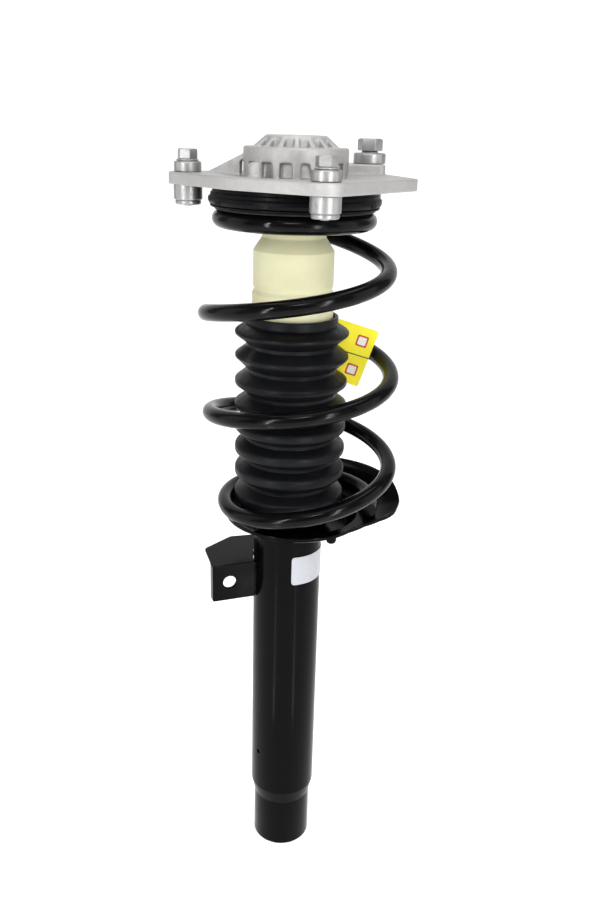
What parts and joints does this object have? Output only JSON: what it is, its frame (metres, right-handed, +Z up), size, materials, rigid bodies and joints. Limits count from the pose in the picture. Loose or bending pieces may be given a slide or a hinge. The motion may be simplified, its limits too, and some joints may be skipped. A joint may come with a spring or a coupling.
{
  "type": "strut assembly",
  "caption": "MacPherson strut: sealed damper tube with a hose bracket, coil spring between two seats, dust boot, foam bump stop, steering bearing and cast aluminium top mount.",
  "frame": {"origin": "centre of the bottom face of the damper tube, where it is clamped in the steering knuckle", "axes": "+Z up along the damper axis towards the top mount; +X towards the flared wing of the lower spring seat, with the hose bracket on -X, its bolting face turned 20 degrees from -Y towards +X"},
  "size_m": [0.1867, 0.1766, 0.619],
  "materials": {
    "black_paint": "gloss black stoved paint",
    "spring_coating": "glossy black powder coat",
    "boot_rubber": "satin moulded rubber",
    "black_rubber": "matte rubber",
    "black_plastic": "satin moulded plastic",
    "cast_aluminium": "sand-cast, rough",
    "zinc_steel": "zinc plated, satin",
    "plain_steel": "machined, oiled",
    "chromed_steel": "ground and hard chromed",
    "foam": "cast closed-cell foam",
    "white_label": "blank white vinyl",
    "yellow_card": "plain yellow card"
  },
  "bodies": {
    "strut_body": {"strut_tube": "black_paint", "lower_spring_seat": "black_paint", "hose_bracket": "black_paint", "tube_cap": "black_paint", "pressure_tube": "plain_steel", "base_valve": "plain_steel", "rod_guide": "plain_steel", "rod_seal": "black_rubber", "tube_label": "white_label", "lower_spring_pad": "black_rubber", "coil_spring": "spring_coating", "dust_boot": "boot_rubber", "spring_tag": "yellow_card"},
    "spring_seat": {"upper_spring_seat": "black_plastic", "upper_spring_pad": "black_rubber"},
    "top_mount": {"mount_casting": "cast_aluminium", "mount_bush": "black_rubber", "mount_sleeve": "plain_steel", "lower_cup_washer": "zinc_steel", "upper_cup_washer": "zinc_steel", "rod_nut": "zinc_steel", "piston_rod": "chromed_steel", "rebound_stop": "black_rubber", "rebound_washer": "plain_steel", "piston": "plain_steel", "piston_ring": "black_plastic", "piston_nut": "plain_steel", "upper_bearing_ring": "black_plastic", "bump_stop": "foam", "mount_bolt_1": "zinc_steel", "mount_bolt_2": "zinc_steel", "mount_bolt_3": "zinc_steel", "bolt_collar_1": "zinc_steel", "bolt_collar_2": "zinc_steel", "bolt_collar_3": "zinc_steel", "threaded_insert_1": "zinc_steel", "threaded_insert_2": "zinc_steel", "threaded_insert_3": "zinc_steel"},
    "bearing_cage": {"bearing_cage": "black_plastic", "bearing_ball_1": "plain_steel", "bearing_ball_2": "plain_steel", "bearing_ball_3": "plain_steel", "bearing_ball_4": "plain_steel", "bearing_ball_5": "plain_steel", "bearing_ball_6": "plain_steel", "bearing_ball_7": "plain_steel", "bearing_ball_8": "plain_steel", "bearing_ball_9": "plain_steel", "bearing_ball_10": "plain_steel", "bearing_ball_11": "plain_steel", "bearing_ball_12": "plain_steel"}
  },
  "joints": [
    {"name": "strut_travel", "type": "slide", "parent": "strut_body", "child": "spring_seat", "axis": [0, 0, 1], "range_m": [-0.12, 0], "stiffness_N_per_m": 27000, "springref_m": 0.04, "deforming": ["coil_spring", "dust_boot", "spring_tag", "bump_stop"]},
    {"name": "steer_turn", "type": "hinge", "parent": "spring_seat", "child": "top_mount", "pos_m": [0, 0, 0.5756], "axis": [0, 0, 1], "range_deg": [-40, 40]},
    {"name": "cage_turn", "type": "hinge", "parent": "spring_seat", "child": "bearing_cage", "pos_m": [0, 0, 0.5756], "axis": [0, 0, 1], "range_deg": [-20, 20]}
  ],
  "couplings": [
    {"joint": "cage_turn", "follows": "steer_turn", "ratio": 0.5}
  ]
}
